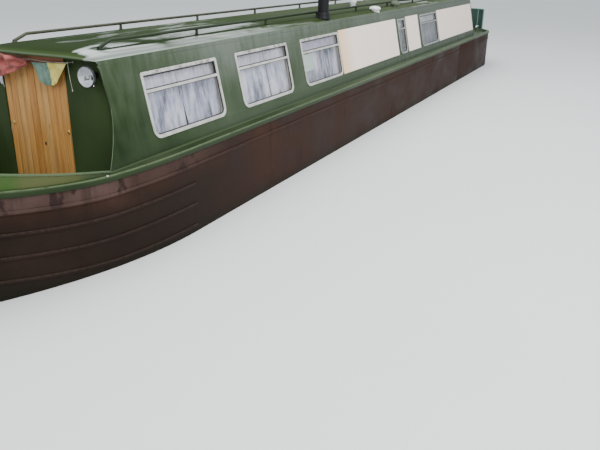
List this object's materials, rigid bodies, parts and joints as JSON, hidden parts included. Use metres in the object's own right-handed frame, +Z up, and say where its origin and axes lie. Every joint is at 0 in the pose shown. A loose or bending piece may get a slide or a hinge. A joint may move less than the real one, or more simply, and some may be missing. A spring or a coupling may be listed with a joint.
{
  "type": "narrowboat",
  "caption": "Long narrow steel canal boat with a full-length cabin, side windows with net curtains, bow well deck, open stern deck, tiller, rudder and propeller.",
  "frame": {"origin": "centre of the overall box, on the underside of the baseplate", "axes": "+X to the bow along the hull, +Y to port, +Z up; the waterline lies at z = 0.47 m"},
  "size_m": [17.9, 2.08, 2.8539],
  "materials": {
    "hull_paint": "aged maroon brown",
    "cabin_paint": "gloss green",
    "bulkhead_paint": "dull dark green",
    "stern_trim_paint": "teal",
    "pine": "varnished",
    "plywood": "matt",
    "window_metal": "mill finish",
    "net_curtain": "woven",
    "lamp_chrome": "polished",
    "stove_iron": "black",
    "white_paint": "satin",
    "bare_steel": "dull",
    "bronze": "dull",
    "engine_paint": "satin",
    "flag_cloth": "woven"
  },
  "bodies": {
    "hull": {"baseplate": "hull_paint", "cabin_floor": "plywood", "bow_shell": "hull_paint", "stern_shell": "hull_paint", "gunwale": "cabin_paint", "stem_bar": "hull_paint", "bow_coaming": "cabin_paint", "well_deck_floor": "cabin_paint", "foredeck": "cabin_paint", "front_bulkhead": "bulkhead_paint", "rear_bulkhead": "bulkhead_paint", "roof": "cabin_paint", "hull_side_port": "hull_paint", "cabin_side_port": "cabin_paint", "curtains_port": "net_curtain", "handrail_port": "cabin_paint", "window_1_port": "window_metal", "window_2_port": "window_metal", "window_3_port": "window_metal", "window_4_port": "window_metal", "window_5_port": "window_metal", "hull_side_starboard": "hull_paint", "cabin_side_starboard": "cabin_paint", "curtains_starboard": "net_curtain", "handrail_starboard": "cabin_paint", "window_1_starboard": "window_metal", "window_2_starboard": "window_metal", "window_3_starboard": "window_metal", "window_4_starboard": "window_metal", "window_5_starboard": "window_metal", "chimney": "stove_iron", "vent_fore": "white_paint", "vent_mid": "cabin_paint", "vent_aft": "white_paint", "headlamp": "lamp_chrome", "bunting": "flag_cloth", "bunting_tail": "flag_cloth", "bunting_tail_knot": "flag_cloth", "stern_deck": "bulkhead_paint", "stern_rail": "stern_trim_paint", "skeg": "hull_paint", "stern_tube": "bare_steel", "engine_block": "engine_paint"},
    "rudder": {"rudder_blade": "hull_paint", "tiller_arm": "cabin_paint"},
    "screw": {"propeller": "bronze"},
    "bow_leaf_port": {"front_door_port": "pine"},
    "bow_leaf_starboard": {"front_door_starboard": "pine"},
    "stern_leaf_port": {"rear_door_port": "bulkhead_paint"},
    "stern_leaf_starboard": {"rear_door_starboard": "bulkhead_paint"},
    "roof_hatch": {"sliding_hatch": "cabin_paint"},
    "locker_lid": {"gas_locker_lid": "cabin_paint"},
    "deck_lid": {"engine_hatch": "bulkhead_paint"}
  },
  "joints": [
    {"name": "rudder_swing", "type": "hinge", "parent": "hull", "child": "rudder", "pos_m": [-8.62, 0, 0.5], "axis": [0, 0, 1], "range_deg": [-60, 60]},
    {"name": "propeller_spin", "type": "hinge", "parent": "hull", "child": "screw", "pos_m": [-8.185, 0, 0.246], "axis": [1, 0, 0], "continuous": true},
    {"name": "bow_door_port", "type": "hinge", "parent": "hull", "child": "bow_leaf_port", "pos_m": [6.51, 0.293, 1.476], "axis": [0, 0, -1], "range_deg": [0, 90]},
    {"name": "bow_door_starboard", "type": "hinge", "parent": "hull", "child": "bow_leaf_starboard", "pos_m": [6.51, -0.458, 1.476], "axis": [0, 0, 1], "range_deg": [0, 90]},
    {"name": "stern_door_port", "type": "hinge", "parent": "hull", "child": "stern_leaf_port", "pos_m": [-6.531, 0.313, 1.787], "axis": [0, 0, -1], "range_deg": [0, 170]},
    {"name": "stern_door_starboard", "type": "hinge", "parent": "hull", "child": "stern_leaf_starboard", "pos_m": [-6.531, -0.313, 1.787], "axis": [0, 0, 1], "range_deg": [0, 170]},
    {"name": "hatch_slide", "type": "slide", "parent": "hull", "child": "roof_hatch", "axis": [1, 0, 0], "range_m": [0, 0.62]},
    {"name": "locker_lid_lift", "type": "hinge", "parent": "hull", "child": "locker_lid", "pos_m": [8.402, 0, 1.5317], "axis": [0, 1, 0], "range_deg": [0, 95]},
    {"name": "deck_lid_lift", "type": "hinge", "parent": "hull", "child": "deck_lid", "pos_m": [-6.925, 0, 1.2983], "axis": [0, 1, 0], "range_deg": [0, 75]}
  ]
}
